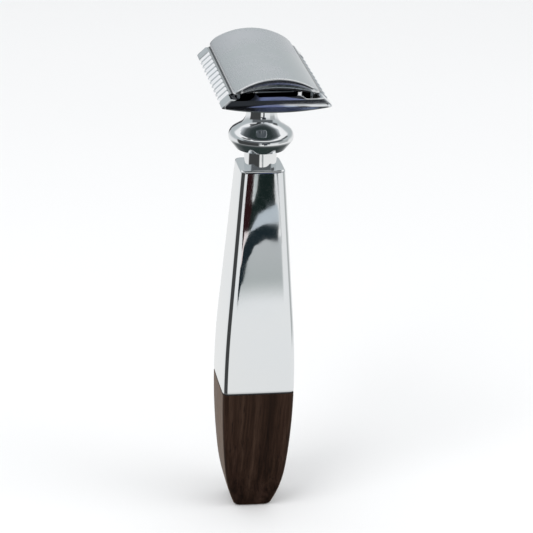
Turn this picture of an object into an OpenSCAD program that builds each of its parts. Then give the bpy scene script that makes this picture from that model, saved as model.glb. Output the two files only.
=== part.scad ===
// Three-piece double-edge safety razor.
// Z is up along the handle, the head's length runs along Y and its two
// shaving edges face -X and +X. Z = 0 is the flat foot of the tail block.
// All sizes are millimetres. The razor is drawn closed, ready to shave.

/* [Handle] */
// Half width of the square handle where metal meets the tail block
grip_half = 8.8; // [8:0.1:9.6]
// Height of the line where the metal shaft meets the tail block
joint_z = 32.7; // [28:0.1:38]
// Height of the shaft's top end
shaft_top_z = 89; // [86:0.5:90]
// Half width of the shaft at its top end
shaft_top_half = 5.4; // [5:0.1:6]
// Half width of the tail block's flat foot
foot_half = 4.45; // [4:0.05:5.2]
// How much the four long edges are eased
edge_round = 1.3; // [0.6:0.1:2]

/* [Collar] */
// Height of the collar disc's widest point
collar_z = 96.3; // [95.9:0.1:96.6]
// Radius of the collar disc
collar_r = 7.8; // [7.4:0.1:8]
// Radius of the waist under the collar
waist_r = 3.9; // [3.6:0.1:4.4]
// Height of the flat seat under the collar
seat_z = 93.4; // [92:0.1:93.6]
// Radius of the slim neck under the head
neck_r = 3.7; // [3.5:0.05:3.9]

/* [Head] */
// Level of the guard's outer tips
guard_z = 110; // [109.6:0.1:111]
// Width of the head from guard tip to guard tip
guard_w = 25.6; // [25:0.1:26.2]
// Length of the base plate and the cap
head_l = 42.3; // [41.8:0.1:42.6]
// Width of the cap
cap_w = 20; // [19.8:0.1:20.8]
// Rise of the cap's arch from its edges to its ridge
cap_rise = 3.9; // [3.4:0.1:4.4]
// Spacing of the guard's scallops
groove_pitch = 3.13; // [2.9:0.01:3.2]
// Number of scallops along one guard
groove_count = 11; // [8:1:12]
// Radius of one scallop
groove_r = 1.75; // [1.3:0.05:1.85]
// Depth of one scallop
groove_depth = 0.55; // [0.3:0.05:0.7]

/* [Blade] */
// Thickness of the blade
blade_t = 0.1; // [0.08:0.01:0.12]
// Width of the blade before it is bent
blade_w = 22; // [21.8:0.1:22.2]
// Length of the blade
blade_l = 42.9; // [42.6:0.1:43.1]

/* [Thread and pins] */
// Radius of the cap's threaded stud
stud_r = 2.5; // [2.4:0.05:2.6]
// Length of stud held in the handle when closed
engage_l = 6.9; // [6.6:0.1:8]
// Radius of a locating pin
pin_r = 1.5; // [1.3:0.05:1.6]
// Distance of each locating pin from the stud
pin_y = 14.2; // [13.8:0.1:14.6]

/* [Hidden] */
$fn = 96;
FINE = 360;
E = 0.01;
run = 0.06;                       // radial running clearance
glue = 0.02;                      // radial gap of a glued or pressed joint
rim = 0.45;                       // thickness of the cap's long edges

// Head levels, measured up from the guard tips.
belly_c   = guard_z - 1.45;       // lowest line of the plate's belly
shelf_z   = guard_z + 1.9;        // end shelves and guard crest
land_z    = guard_z + 2.7;        // central land
under_c   = guard_z + 4.4;        // cap's underside on the centre line
cap_edge  = guard_z + 2.8;        // cap's long lower edges
cap_top   = cap_edge + cap_rise;  // ridge of the cap
crest_x   = guard_w / 2 - 2.05;   // guard crest
seat_top  = guard_z - 1.8;        // neck's top face, under the plate
boss_z    = seat_top + 0.02;      // flat seat on the plate's underside

// Radius of an arch of a given half span and rise.
function arch_r(half, rise) = (half * half + rise * rise) / (2 * rise);
cap_R   = arch_r(cap_w / 2, cap_rise - rim);
under_R = arch_r(cap_w / 2, under_c - cap_edge);
belly_R = arch_r(guard_w / 2, 1.2);
under_cz = under_c - under_R;     // centre height of the underside's arch
blade_R = under_R - 0.02;         // outer face of the bent blade
blade_x = blade_R * sin(blade_w / 2 / blade_R * 180 / PI);

// Height just under the bent blade at a distance x from the middle.
function blade_under(x) = under_cz + sqrt(pow(blade_R - blade_t - 0.02, 2) - x * x);

stud_tip = seat_top - engage_l;

// Circle through three points of a right-hand outline, as [x, z, radius].
function circ3(a, b, c) =
    let (d = 2 * (a[0] * (b[1] - c[1]) + b[0] * (c[1] - a[1]) + c[0] * (a[1] - b[1])),
         sa = a * a, sb = b * b, sc = c * c,
         ux = (sa * (b[1] - c[1]) + sb * (c[1] - a[1]) + sc * (a[1] - b[1])) / d,
         uy = (sa * (c[0] - b[0]) + sb * (a[0] - c[0]) + sc * (b[0] - a[0])) / d)
    [ux, uy, norm([a[0] - ux, a[1] - uy])];

// Where that circle's right side is at a height z.
function disc_x(pts, z) =
    let (c = circ3(pts[0], pts[1], pts[2])) c[0] + sqrt(c[2] * c[2] - (z - c[1]) * (z - c[1]));

// Half widths of the square handle at the heights that shape its two curves.
tail_lo = [[foot_half, 0], [foot_half + 1.6, 4.2], [grip_half - 1.15, 12]];
tail_hi = [[grip_half - 1.15, 12], [grip_half - 0.33, joint_z - 11], [grip_half, joint_z]];
sh_mid  = [[grip_half, joint_z], [grip_half - 0.19, joint_z + 10], [grip_half - 0.77, joint_z + 20]];

// The same outline across the corners of the square, with the edge eased.
function diag(p) = [p[0] * sqrt(2) - edge_round * (sqrt(2) - 1), p[1]];
function across(list, k) = k == 0 ? list : [for (p = list) diag(p)];

// A pair of mirrored discs whose overlap bounds an outline left and right.
module disc_pair(pts) {
    c = circ3(pts[0], pts[1], pts[2]);
    intersection() {
        translate([c[0], c[1]]) circle(r = c[2], $fn = FINE);
        translate([-c[0], c[1]]) circle(r = c[2], $fn = FINE);
    }
}

// The part of an outline between two heights.
module slab(z0, z1) {
    intersection() {
        children();
        translate([-20, z0]) square([40, z1 - z0]);
    }
}

// Side outline of the tail block, k = 1 across its corners.
module tail_outline(k) {
    slab(0, 12) disc_pair(across(tail_lo, k));
    slab(12, joint_z) disc_pair(across(tail_hi, k));
}

// Side outline of the metal shaft above the joint, k = 1 across its corners.
module shaft_outline(k) {
    zb = joint_z + 20 + 2 * k;                   // where the curve ends
    xb = disc_x(across(sh_mid, k), zb);
    top = across([[shaft_top_half, shaft_top_z]], k)[0];
    slab(joint_z, zb) disc_pair(across(sh_mid, k));
    polygon([[-xb, zb], [xb, zb], top, [-top[0], top[1]]]);
}

// One outline swept straight across the handle, turned by an angle.
module prism(angle, kind) {
    rotate([0, 0, angle]) rotate([90, 0, 0])
        linear_extrude(height = 40, center = true)
            if (kind == "tail") tail_outline(angle % 90 == 0 ? 0 : 1);
            else shaft_outline(angle % 90 == 0 ? 0 : 1);
}

// A square body from crossed prisms: two give the faces, and two more turned
// by 45 degrees ease the four long edges.
module handle_part(kind) {
    intersection() {
        prism(0, kind);
        prism(90, kind);
        prism(45, kind);
        prism(135, kind);
    }
}

// Plan of the head: a rectangle with rounded corners.
module head_plan(w, l, r) {
    square([w - 2 * r, l], center = true);
    square([w, l - 2 * r], center = true);
    for (x = [-1, 1], y = [-1, 1])
        translate([x * (w / 2 - r), y * (l / 2 - r)]) circle(r = r, $fn = 48);
}

// The arched cap: a smooth crown over a shallower arch that bends the blade.
module top_cap() {
    color([0.72, 0.74, 0.75])
    difference() {
        intersection() {
            rotate([90, 0, 0]) linear_extrude(height = head_l, center = true)
                difference() {
                    intersection() {
                        translate([0, cap_top - cap_R]) circle(r = cap_R, $fn = FINE);
                        translate([-15, cap_edge - 1]) square([30, 10]);
                    }
                    translate([0, under_cz]) circle(r = under_R, $fn = 2 * FINE);
                }
            translate([0, 0, cap_edge - 1]) linear_extrude(height = 12)
                head_plan(cap_w, head_l, 2);
        }
        // blind hole that holds the stud
        translate([0, 0, under_c - 1]) cylinder(r = stud_r, h = 2.4);
        // blind holes that hold the locating pins
        for (s = [-1, 1]) translate([0, s * pin_y, under_c - 1]) cylinder(r = pin_r, h = 2.2);
    }
}

// The stud that passes through the plate and screws into the neck.
module cap_stud() {
    color([0.8, 0.8, 0.82])
    difference() {
        union() {
            translate([0, 0, stud_tip + 0.5]) cylinder(r = stud_r, h = under_c + 1.4 - stud_tip - 0.5);
            translate([0, 0, stud_tip]) cylinder(r1 = stud_r - 0.5, r2 = stud_r, h = 0.5);
        }
        // runout ring between the thread and the shank
        translate([0, 0, seat_top + 1.2]) difference() {
            cylinder(r = stud_r + 1, h = 0.8);
            translate([0, 0, -E]) cylinder(r = stud_r - 0.35, h = 0.8 + 2 * E);
        }
    }
}

// Two pins that hold blade and plate square to the cap.
module locating_pins() {
    color([0.8, 0.8, 0.82])
    for (s = [-1, 1]) translate([0, s * pin_y, 0]) {
        translate([0, 0, guard_z - 0.1]) cylinder(r = pin_r, h = under_c + 1.2 - guard_z + 0.1);
        translate([0, 0, guard_z - 0.5]) cylinder(r1 = pin_r - 0.4, r2 = pin_r, h = 0.4);
    }
}

// The flat shape of the blade's window: a slot with a centre hole and lobes.
module blade_window() {
    square([2.6, 36.4], center = true);
    circle(r = 3.1);
    for (s = [-1, 1]) {
        translate([0, s * pin_y]) circle(r = pin_r + 0.3);
        translate([0, s * 18.2]) circle(r = 1.3);
        translate([0, s * 7.6]) square([4.2, 2.2], center = true);
    }
}

// A thin double-edge blade, bent to the cap's underside.
module blade() {
    color([0.78, 0.8, 0.83])
    difference() {
        intersection() {
            rotate([90, 0, 0]) linear_extrude(height = blade_l, center = true)
                intersection() {
                    difference() {
                        translate([0, under_cz]) circle(r = blade_R, $fn = 2 * FINE);
                        translate([0, under_cz]) circle(r = blade_R - blade_t, $fn = 2 * FINE);
                    }
                    translate([-blade_x, guard_z]) square([2 * blade_x, 8]);
                }
            translate([0, 0, guard_z]) linear_extrude(height = 8) {
                square([30, 37.4], center = true);
                square([13.4, blade_l + 1], center = true);
            }
        }
        translate([0, 0, guard_z]) linear_extrude(height = 8) blade_window();
    }
}

// Half of the plate's cross section above the guard tip, on the +X side.
module plate_half() {
    polygon([[-E, belly_c - 1], [guard_w / 2 + 1, belly_c - 1],
             [guard_w / 2, guard_z - 0.25], [guard_w / 2, guard_z],
             [crest_x + 0.12, shelf_z - 0.1], [crest_x - 0.15, shelf_z],
             [6.9, shelf_z], [6.2, shelf_z + 0.12], [5.6, land_z - 0.15],
             [5.0, land_z], [-E, land_z]]);
}

// One scallop: it runs down the guard's slope from the crest to the tip.
module scallop() {
    slope = atan2(shelf_z - guard_z, guard_w / 2 - crest_x);
    off = groove_r - groove_depth;
    translate([guard_w / 2 + off * sin(slope), 0, guard_z + off * cos(slope)])
        rotate([0, -slope, 0]) rotate([0, 90, 0])
            translate([0, 0, -4.2]) cylinder(r = groove_r, h = 6, $fn = 48);
}

// The base plate: hull-shaped belly, shelves, central land and two scalloped
// guards, with clamp ribs that press the blade close to its edges.
module base_plate() {
    rib_top = blade_under(8.8);
    color([0.62, 0.65, 0.7])
    difference() {
        union() {
            intersection() {
                rotate([90, 0, 0]) linear_extrude(height = head_l, center = true)
                    intersection() {
                        translate([0, guard_z - 0.25 + belly_R - 1.2]) circle(r = belly_R, $fn = 2 * FINE);
                        union() { plate_half(); mirror([1, 0]) plate_half(); }
                    }
                translate([0, 0, belly_c - 2]) linear_extrude(height = 8)
                    head_plan(guard_w, head_l, 0.7);
            }
            // round boss that rests on the neck
            translate([0, 0, boss_z]) cylinder(r = 4.6, h = 1.5);
            // clamp ribs
            for (s = [-1, 1]) translate([s * 8.5 - 0.3, -18, shelf_z - 0.2])
                cube([0.6, 36, rib_top - shelf_z + 0.2]);
            // raised bed under the blade, set back from both ends
            translate([-4.6, -18.2, land_z - 0.3]) cube([9.2, 36.4, 1.2]);
            // cheeks that close the sides of the end slots
            for (x = [-1, 1], y = [-1, 1])
                translate([x * 5 - 0.6, y * (head_l / 2 - 1.6) - 1.6, land_z - 0.6])
                    cube([1.2, 3.2, blade_under(5.6) - land_z + 0.6]);
        }
        // clearance hole for the stud, then the pins' holes
        translate([0, 0, belly_c - 3]) cylinder(r = stud_r + 0.2, h = 10);
        for (s = [-1, 1]) translate([0, s * pin_y, belly_c - 3]) cylinder(r = pin_r + run, h = 10);
        // lather channels behind the guard crests
        for (s = [-1, 1]) translate([s * 9.62 - 0.55, -17.6, shelf_z - 0.9]) cube([1.1, 35.2, 2]);
        // guard scallops
        for (i = [0 : groove_count - 1]) translate([0, (i - (groove_count - 1) / 2) * groove_pitch, 0]) {
            scallop();
            mirror([1, 0, 0]) scallop();
        }
    }
}

// The turned neck: slim tapped top, bell flare, collar disc, waist, spigot.
module neck_outline() {
    fillet = 3.6;                                // hollow between neck and bell
    lip = 1.93;                                  // rounding of the collar's rim
    flare = 34;                                  // slope of the bell's side
    // the bell's side leaves the rim and runs tangent into the hollow
    lx = collar_r - lip + lip * cos(8) * sin(flare);
    lz = lip * cos(8) * cos(flare);
    tx = neck_r + fillet * (1 - sin(flare));
    tz = lz + (lx - tx) * tan(flare);
    fz = tz + fillet * cos(flare);
    difference() {
        union() {
            // spigot inside the shaft, then the waist
            translate([0, shaft_top_z - 9]) square([3.0, 9 + E]);
            translate([0, shaft_top_z]) square([waist_r, seat_z - shaft_top_z + E]);
            // collar: a round rim over an underside that runs in to a flat seat
            translate([collar_r - lip, collar_z]) circle(r = lip, $fn = FINE);
            polygon([[0, seat_z], [collar_r - 1.7, seat_z],
                     [collar_r - lip + 1.87 * cos(38), collar_z - 1.87 * sin(38)],
                     [collar_r - lip, collar_z + 0.5], [0, collar_z + 0.5]]);
            // bell, its hollow and the straight neck
            difference() {
                translate([0, collar_z]) polygon([[0, 0], [collar_r - lip, 0], [lx, lz], [tx, tz], [tx, fz], [0, fz]]);
                translate([neck_r + fillet, collar_z + fz]) circle(r = fillet, $fn = FINE);
            }
            translate([0, collar_z + fz - E]) square([neck_r, seat_top - collar_z - fz + E]);
        }
        // tapped bore for the stud, open at the top
        translate([-1, seat_top - 8.6]) square([1 + stud_r + run, 10]);
        // bore for the tie rod, open at the bottom
        translate([-1, shaft_top_z - 10]) square([1 + 1.97, 11.4]);
    }
}
module neck_collar() {
    color([0.8, 0.82, 0.84]) rotate_extrude() neck_outline();
}

// The chrome shaft, hollow inside with a solid top and a spigot below.
module shaft() {
    color([0.8, 0.82, 0.84])
    difference() {
        union() {
            handle_part("shaft");
            translate([0, 0, joint_z - 5]) cylinder(r = 5.2, h = 5.5);
        }
        // hole for the neck's spigot
        translate([0, 0, shaft_top_z - 9.1]) cylinder(r = 3.0 + glue, h = 9.1 + E);
        // cored hollow that keeps the casting light
        translate([0, 0, joint_z + 6]) cylinder(r = 4.6, h = shaft_top_z - joint_z - 24);
        // clearance hole for the tie rod
        translate([0, 0, joint_z - 6]) cylinder(r = 2.1, h = shaft_top_z - joint_z);
    }
}

// Thin dark seal in the joint between shaft and tail block.
module joint_seal() {
    color([0.08, 0.08, 0.09])
    translate([0, 0, joint_z - 0.34]) linear_extrude(height = 0.33) difference() {
        head_plan(2 * grip_half - 0.2, 2 * grip_half - 0.2, edge_round + 0.4);
        circle(r = 5.3);
    }
}

// The wood-look tail block, square and tapering to a flat foot.
module tail_block() {
    color([0.2, 0.12, 0.1])
    difference() {
        handle_part("tail");
        // room for the seal
        translate([-20, -20, joint_z - 0.35]) cube([40, 40, 2]);
        // socket for the shaft's spigot
        translate([0, 0, joint_z - 5.1]) cylinder(r = 5.25, h = 8);
        // hole for the brass insert
        translate([0, 0, joint_z - 19.1]) cylinder(r = 3.5 + glue, h = 15);
    }
}

// Threaded rod that ties the tail block to the neck through the shaft.
module tie_rod() {
    color([0.6, 0.6, 0.62])
    translate([0, 0, joint_z - 18.5]) cylinder(r = 1.95, h = shaft_top_z + 1.2 - joint_z + 18.5);
}

// Brass insert glued into the tail block for the tie rod.
module tail_insert() {
    color([0.78, 0.62, 0.3])
    difference() {
        translate([0, 0, joint_z - 19]) cylinder(r = 3.5, h = 13.4);
        translate([0, 0, joint_z - 18.6]) cylinder(r = 1.97, h = 14);
    }
}

top_cap();
cap_stud();
locating_pins();
blade();
base_plate();
neck_collar();
shaft();
joint_seal();
tail_block();
tie_rod();
tail_insert();
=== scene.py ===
import math

import bmesh
import bpy
import numpy as np
from mathutils import Matrix, Vector


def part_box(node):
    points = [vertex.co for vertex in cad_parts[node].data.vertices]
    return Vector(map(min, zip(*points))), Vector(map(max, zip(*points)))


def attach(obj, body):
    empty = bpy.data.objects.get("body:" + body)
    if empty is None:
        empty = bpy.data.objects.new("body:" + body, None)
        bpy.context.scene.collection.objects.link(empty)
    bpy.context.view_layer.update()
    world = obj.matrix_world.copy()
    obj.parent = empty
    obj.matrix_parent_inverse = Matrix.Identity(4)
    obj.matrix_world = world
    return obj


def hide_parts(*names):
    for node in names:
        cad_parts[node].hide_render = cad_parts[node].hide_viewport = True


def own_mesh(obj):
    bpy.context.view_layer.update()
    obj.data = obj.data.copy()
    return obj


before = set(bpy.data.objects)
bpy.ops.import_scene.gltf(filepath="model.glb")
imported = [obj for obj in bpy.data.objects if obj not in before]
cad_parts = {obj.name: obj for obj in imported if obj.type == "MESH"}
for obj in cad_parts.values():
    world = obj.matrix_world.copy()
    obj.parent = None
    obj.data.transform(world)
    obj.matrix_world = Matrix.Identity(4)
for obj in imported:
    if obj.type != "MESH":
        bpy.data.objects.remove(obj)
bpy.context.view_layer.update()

MM = 0.001
PI = math.pi


def box_mm(node):
    lo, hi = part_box(node)
    return np.array(lo) / MM, np.array(hi) / MM


# ---------------------------------------------------------------- levels, all read from the frame
tail_lo, tail_hi = box_mm("tail_block")
shaft_lo, shaft_hi = box_mm("shaft")
seal_lo, seal_hi = box_mm("joint_seal")
neck_lo, neck_hi = box_mm("neck_collar")
plate_lo, plate_hi = box_mm("base_plate")
cap_lo, cap_hi = box_mm("top_cap")
stud_lo, stud_hi = box_mm("cap_stud")
pins_lo, pins_hi = box_mm("locating_pins")
rod_lo, rod_hi = box_mm("tie_rod")
ins_lo, ins_hi = box_mm("tail_insert")
blade_lo, blade_hi = box_mm("blade")

GRIP = shaft_hi[0]                 # half width of the handle at the joint
JOINT = tail_hi[2] + 0.35          # height of the metal / wood line
SHAFT_TOP = shaft_hi[2]
SEAT_TOP = neck_hi[2]              # neck's top face
GZ = cap_lo[2] - 2.8               # level of the guard tips
HALF_W = plate_hi[0]               # guard tip
HALF_L = plate_hi[1]               # half length of plate and cap
CAP_W = cap_hi[0]
CAP_TOP = cap_hi[2]
COLLAR_R = neck_hi[0]
STUD_R = stud_hi[0]
PIN_Y = (pins_hi[1] - 1.5)
PIN_R = 1.5
BLADE_L = blade_hi[1]


# ---------------------------------------------------------------- mesh helpers
def finish_mesh(me, merge=1e-7):
    bm = bmesh.new()
    bm.from_mesh(me)
    bmesh.ops.remove_doubles(bm, verts=bm.verts, dist=merge)
    bmesh.ops.dissolve_degenerate(bm, edges=bm.edges, dist=1e-9)
    loose = [v for v in bm.verts if not v.link_faces]
    if loose:
        bmesh.ops.delete(bm, geom=loose, context="VERTS")
    bmesh.ops.recalc_face_normals(bm, faces=bm.faces)
    bm.to_mesh(me)
    bm.free()


def make(name, verts_mm, faces, sharp=32.0, merge=2e-7):
    me = bpy.data.meshes.new(name)
    me.from_pydata((np.asarray(verts_mm, float) * MM).tolist(), [], faces)
    me.validate()
    finish_mesh(me, merge)
    ob = bpy.data.objects.new(name, me)
    bpy.context.scene.collection.objects.link(ob)
    shade(ob, sharp)
    return ob


def shade(ob, sharp=32.0):
    me = ob.data
    me.polygons.foreach_set("use_smooth", [True] * len(me.polygons))
    me.set_sharp_from_angle(angle=math.radians(sharp))
    att = me.attributes.get("sharp_edge") or me.attributes.new("sharp_edge", "BOOLEAN", "EDGE")
    for q in me.polygons:                                 # big flat end faces stay truly flat
        if q.loop_total > 24:
            for li in q.loop_indices:
                att.data[me.loops[li].edge_index].value = True
    me.update()


def grid_faces(n, m, close_u, close_v, base=0):
    """Faces of n rings of m points; close_u joins a ring's ends, close_v joins the last ring to the first."""
    out = []
    for i in range(n if close_v else n - 1):
        i2 = (i + 1) % n
        for j in range(m if close_u else m - 1):
            j2 = (j + 1) % m
            out.append((base + i * m + j, base + i * m + j2, base + i2 * m + j2, base + i2 * m + j))
    return out


def loft(name, rings, close_v=False, caps=(True, True), sharp=32.0):
    R = np.asarray(rings, float)
    n, m = R.shape[:2]
    F = grid_faces(n, m, True, close_v)
    if not close_v:
        if caps[0]:
            F.append(tuple(range(m))[::-1])
        if caps[1]:
            F.append(tuple((n - 1) * m + j for j in range(m)))
    return make(name, R.reshape(-1, 3), F, sharp)


def revolve(name, prof, seg=160, sharp=32.0, centre=(0, 0)):
    """prof: open list of (r, z) from axis to axis, or a closed loop when it never reaches the axis."""
    prof = np.asarray(prof, float)
    open_ = prof[0, 0] < 1e-9 and prof[-1, 0] < 1e-9
    rings = []
    for k in range(seg):
        a = 2 * PI * k / seg
        rings.append(np.c_[centre[0] + prof[:, 0] * math.cos(a), centre[1] + prof[:, 0] * math.sin(a), prof[:, 1]])
    R = np.asarray(rings)
    F = grid_faces(seg, len(prof), not open_, True)
    return make(name, R.reshape(-1, 3), F, sharp)


def rounded(points, seg=5, closed=False):
    """A polyline with each corner (x, y, r) turned into an arc of seg + 1 points; the count never depends on the shape."""
    P = [np.array(p[:2], float) for p in points]
    rad = [p[2] if len(p) > 2 else 0.0 for p in points]
    out, n = [], len(P)
    for i in range(n):
        ends = not closed and i in (0, n - 1)
        if rad[i] <= 0 and len(points[i]) <= 2 or ends:
            out.append(P[i])
            continue
        a, b, c = P[i - 1], P[i], P[(i + 1) % n]
        u, v = a - b, c - b
        lu, lv = np.linalg.norm(u), np.linalg.norm(v)
        if lu < 1e-6 or lv < 1e-6:
            out += [b] * (seg + 1)
            continue
        u, v = u / lu, v / lv
        ang = math.acos(max(-1, min(1, float(u @ v))))
        if ang > PI - 1e-3 or ang < 1e-3:
            out += [b] * (seg + 1)
            continue
        t = min(rad[i] / math.tan(ang / 2), 0.48 * lu, 0.48 * lv)
        r = t * math.tan(ang / 2)
        bis = (u + v) / np.linalg.norm(u + v)
        centre = b + bis * (r / math.sin(ang / 2))
        s, e = b + u * t - centre, b + v * t - centre
        a0, a1 = math.atan2(s[1], s[0]), math.atan2(e[1], e[0])
        d = (a1 - a0 + PI) % (2 * PI) - PI
        out += [centre + r * np.array([math.cos(a0 + d * k / seg), math.sin(a0 + d * k / seg)]) for k in range(seg + 1)]
    return np.array(out)


def boolean(ob, other, op):
    m = ob.modifiers.new("b", "BOOLEAN")
    m.operation, m.solver, m.object = op, "EXACT", other
    dg = bpy.context.evaluated_depsgraph_get()
    me = bpy.data.meshes.new_from_object(ob.evaluated_get(dg))
    ob.modifiers.remove(m)
    old = ob.data
    ob.data = me
    bpy.data.meshes.remove(old)
    bpy.data.objects.remove(other, do_unlink=True)
    finish_mesh(ob.data, 1e-7)
    return ob


def place(ob, body, node, slot, *mats):
    ob.data.materials.clear()
    for m in mats:
        ob.data.materials.append(m)
    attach(ob, body)
    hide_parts(node)
    return ob


# ---------------------------------------------------------------- node helpers
class Nodes:
    def __init__(self, tree):
        self.t = tree
        tree.nodes.clear()

    def add(self, kind, **kw):
        n = self.t.nodes.new(kind)
        ins = kw.pop("ins", {})
        for k, v in kw.items():
            setattr(n, k, v)
        for k, v in ins.items():
            self.put(n.inputs[k], v)
        return n

    def put(self, sock, v):
        if isinstance(v, bpy.types.NodeSocket):
            self.t.links.new(v, sock)
        elif isinstance(v, bpy.types.Node):
            self.t.links.new(v.outputs[0], sock)
        else:
            sock.default_value = v

    def math(self, op, a, b=None, c=None, clamp=False):
        n = self.t.nodes.new("ShaderNodeMath")
        n.operation, n.use_clamp = op, clamp
        for i, v in enumerate((a, b, c)):
            if v is not None:
                self.put(n.inputs[i], v)
        return n.outputs[0]

    def mapr(self, v, a, b, c=0.0, d=1.0, smooth=False):
        n = self.t.nodes.new("ShaderNodeMapRange")
        n.interpolation_type = "SMOOTHSTEP" if smooth else "LINEAR"
        n.clamp = True
        for i, x in enumerate((v, a, b, c, d)):
            self.put(n.inputs[i], x)
        return n.outputs[0]

    def ramp(self, v, stops, mode="LINEAR"):
        n = self.t.nodes.new("ShaderNodeValToRGB")
        n.color_ramp.interpolation = mode
        els = n.color_ramp.elements
        while len(els) > 1:
            els.remove(els[-1])
        els[0].position, els[0].color = stops[0][0], (*stops[0][1], 1)
        for p, c in stops[1:]:
            e = els.new(p)
            e.color = (*c, 1)
        self.put(n.inputs[0], v)
        return n.outputs[0]

    def mix(self, f, a, b, blend="MIX"):
        n = self.t.nodes.new("ShaderNodeMix")
        n.data_type, n.blend_type = "RGBA", blend
        n.clamp_factor = True
        self.put(n.inputs[0], f)
        self.put(n.inputs[6], a if not isinstance(a, tuple) else (*a, 1))
        self.put(n.inputs[7], b if not isinstance(b, tuple) else (*b, 1))
        return n.outputs[2]

    def noise(self, vec, scale, detail=3.0, rough=0.5, dist=0.0, w=None):
        n = self.t.nodes.new("ShaderNodeTexNoise")
        if w is not None:
            n.noise_dimensions = "4D"
            n.inputs["W"].default_value = w
        self.put(n.inputs["Vector"], vec)
        n.inputs["Scale"].default_value = scale
        n.inputs["Detail"].default_value = detail
        n.inputs["Roughness"].default_value = rough
        n.inputs["Distortion"].default_value = dist
        return n.outputs["Fac"]

    def coords(self, scale=(1000, 1000, 1000), rot=(0, 0, 0)):
        tc = self.t.nodes.new("ShaderNodeTexCoord")
        mp = self.t.nodes.new("ShaderNodeMapping")
        mp.inputs["Scale"].default_value = scale
        mp.inputs["Rotation"].default_value = rot
        self.t.links.new(tc.outputs["Object"], mp.inputs["Vector"])
        return mp.outputs[0]

    def bump(self, height, strength, dist, normal=None):
        n = self.t.nodes.new("ShaderNodeBump")
        n.inputs["Strength"].default_value = strength
        n.inputs["Distance"].default_value = dist
        self.put(n.inputs["Height"], height)
        if normal is not None:
            self.put(n.inputs["Normal"], normal)
        return n.outputs[0]


def material(name):
    m = bpy.data.materials.new(name)
    m.use_nodes = True
    N = Nodes(m.node_tree)
    out = N.add("ShaderNodeOutputMaterial")
    p = N.add("ShaderNodeBsdfPrincipled")
    m.node_tree.links.new(p.outputs[0], out.inputs[0])
    return m, N, p


def edge_mask(N, lo=0.505, hi=0.56):
    g = N.add("ShaderNodeNewGeometry")
    return N.mapr(g.outputs["Pointiness"], lo, hi)


def chrome(name, base=(0.86, 0.875, 0.885), rough=(0.025, 0.07), scratch=0.35, seed=0.0):
    """Polished chrome plate: smudges in the gloss, hairline wiping scratches, and a painted highlight that lightens the
    convex edges.
    """
    m, N, p = material(name)
    c = N.coords()
    smudge = N.noise(c, 0.11, 4.0, 0.55, 0.4, w=seed)
    wipe = N.noise(N.coords((9000, 9000, 260)), 1.0, 2.0, 0.5, w=seed + 1)
    wipe2 = N.noise(N.coords((7000, 700, 7000), (0.3, 0.5, 0.4)), 1.0, 2.0, 0.6, w=seed + 2)
    hair = N.mapr(wipe, 0.66, 0.8)
    hair2 = N.mapr(wipe2, 0.68, 0.8)
    lines = N.math("MAXIMUM", hair, hair2)
    r = N.mapr(smudge, 0.35, 0.75, rough[0], rough[1], smooth=True)
    r = N.math("ADD", r, N.math("MULTIPLY", lines, 0.05 * scratch))
    tint = N.mix(N.mapr(N.noise(c, 0.05, 2.0, w=seed + 3), 0.35, 0.7), tuple(base), tuple(x * y for x, y in zip(base, (0.975, 0.985, 1.0))))
    # painted highlight: convex edges are lifted towards a pale grey in the colour
    tint = N.mix(N.math("MULTIPLY", edge_mask(N), 0.5), tint, (0.93, 0.935, 0.94))
    N.put(p.inputs["Base Color"], tint)
    p.inputs["Metallic"].default_value = 1.0
    N.put(p.inputs["Roughness"], r)
    orange = N.noise(c, 0.9, 2.0, 0.5, w=seed + 4)
    h = N.math("ADD", N.math("MULTIPLY", orange, 0.35), N.math("MULTIPLY", lines, -0.05 * scratch))
    N.put(p.inputs["Normal"], N.bump(h, 0.06, 0.00004))
    return m


def satin(name):
    """Satin chrome of the cap: an even fine grain under a soft sheen."""
    m, N, p = material(name)
    c = N.coords()
    cloud = N.noise(c, 0.09, 3.0, 0.5, 0.3, w=7.0)
    grain = N.noise(c, 14.0, 3.0, 0.65, w=8.0)
    streak = N.noise(N.coords((6000, 350, 6000)), 1.0, 3.0, 0.6, w=9.0)
    r = N.mapr(cloud, 0.3, 0.75, 0.23, 0.31, smooth=True)
    r = N.math("ADD", r, N.mapr(streak, 0.3, 0.7, -0.025, 0.03))
    base = N.mix(N.mapr(cloud, 0.3, 0.7), (0.80, 0.825, 0.83), (0.79, 0.79, 0.825))
    # painted highlight: convex edges such as the rim are lifted towards a pale grey in the colour
    base = N.mix(N.math("MULTIPLY", edge_mask(N), 0.7), base, (0.93, 0.935, 0.94))
    N.put(p.inputs["Base Color"], base)
    p.inputs["Metallic"].default_value = 1.0
    N.put(p.inputs["Roughness"], r)
    h = N.math("ADD", N.math("MULTIPLY", grain, 0.5), N.math("MULTIPLY", streak, 0.5))
    N.put(p.inputs["Normal"], N.bump(h, 0.015, 0.00003))
    return m


def steel(name, base=(0.63, 0.64, 0.65), rough=0.28, across=(300, 7000, 300), seed=20.0):
    """Ground steel: fine parallel grinding lines."""
    m, N, p = material(name)
    g = N.noise(N.coords(across), 1.0, 4.0, 0.65, w=seed)
    cloud = N.noise(N.coords(), 0.2, 3.0, 0.5, w=seed + 1)
    col = N.mix(N.mapr(g, 0.3, 0.7), tuple(x * 0.86 for x in base), tuple(min(1, x * 1.1) for x in base))
    N.put(p.inputs["Base Color"], col)
    p.inputs["Metallic"].default_value = 1.0
    r = N.math("ADD", N.mapr(g, 0.3, 0.7, rough - 0.07, rough + 0.07), N.mapr(cloud, 0.3, 0.7, -0.03, 0.04))
    N.put(p.inputs["Roughness"], r)
    N.put(p.inputs["Normal"], N.bump(g, 0.12, 0.00002))
    return m


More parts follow.
